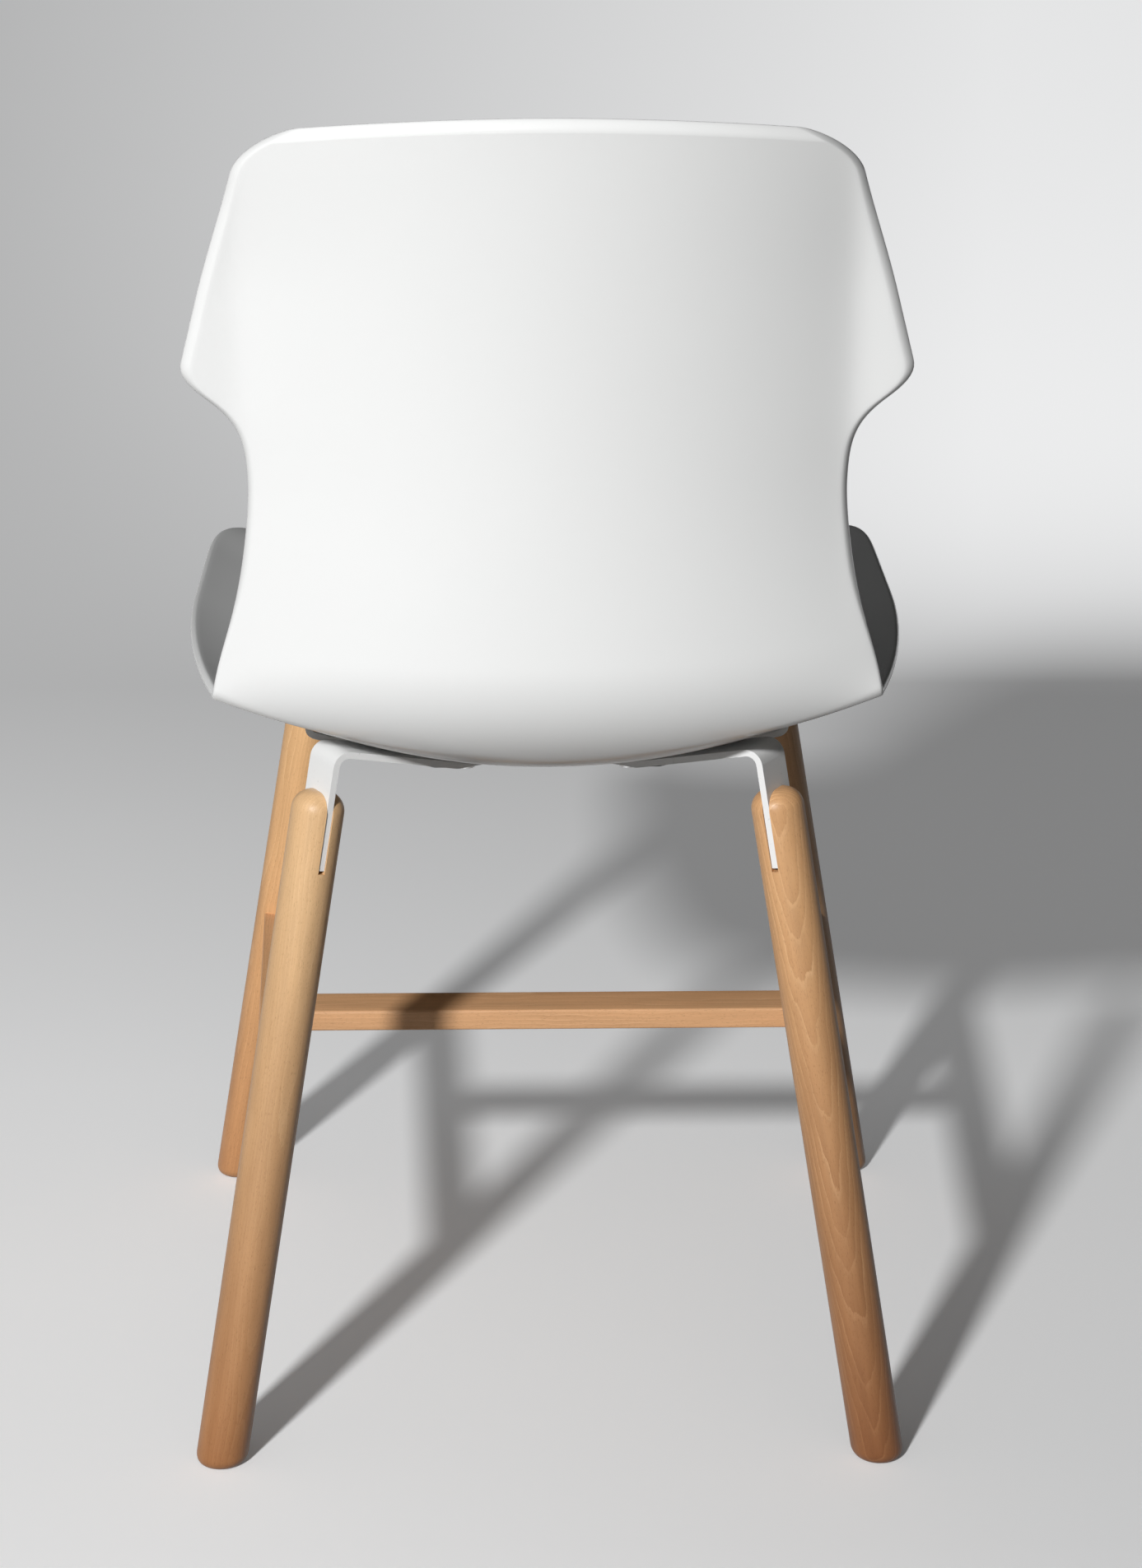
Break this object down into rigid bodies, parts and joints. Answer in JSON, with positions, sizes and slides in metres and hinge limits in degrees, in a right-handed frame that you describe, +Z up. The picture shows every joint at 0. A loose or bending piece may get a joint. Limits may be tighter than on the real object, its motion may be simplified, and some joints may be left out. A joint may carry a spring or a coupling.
{
  "type": "dining chair",
  "caption": "Dining chair with a white moulded shell for seat and back, a formed steel bracket under it, splayed round beech legs in slotted joints and an H stretcher.",
  "frame": {"origin": "centre of the bounding box on the floor", "axes": "+Z up, the sitter faces -Y with the back at +Y, the sitter's left hand is at +X; the chair is a mirror image of itself across X = 0"},
  "size_m": [0.4778, 0.525, 0.842],
  "materials": {
    "shell_plastic": "white moulded plastic, satin gloss",
    "bracket_paint": "white powder coat on formed steel",
    "insert_brass": "knurled brass",
    "screw_steel": "zinc plated",
    "leg_wood": "clear lacquered beech",
    "rail_wood": "clear lacquered beech",
    "dowel_wood": "raw beech"
  },
  "bodies": {
    "root": {"seat_shell": "shell_plastic", "shell_inserts": "insert_brass", "under_seat_bracket": "bracket_paint", "shell_screws": "screw_steel", "shell_screw_washers": "screw_steel", "rear_leg_left": "leg_wood", "rear_leg_right": "leg_wood", "front_leg_left": "leg_wood", "front_leg_right": "leg_wood", "leg_bolts": "screw_steel", "leg_sleeve_nuts": "insert_brass", "side_rail_left": "rail_wood", "side_rail_right": "rail_wood", "cross_rail": "rail_wood", "side_rail_dowels": "dowel_wood", "cross_rail_dowels": "dowel_wood"}
  },
  "joints": []
}
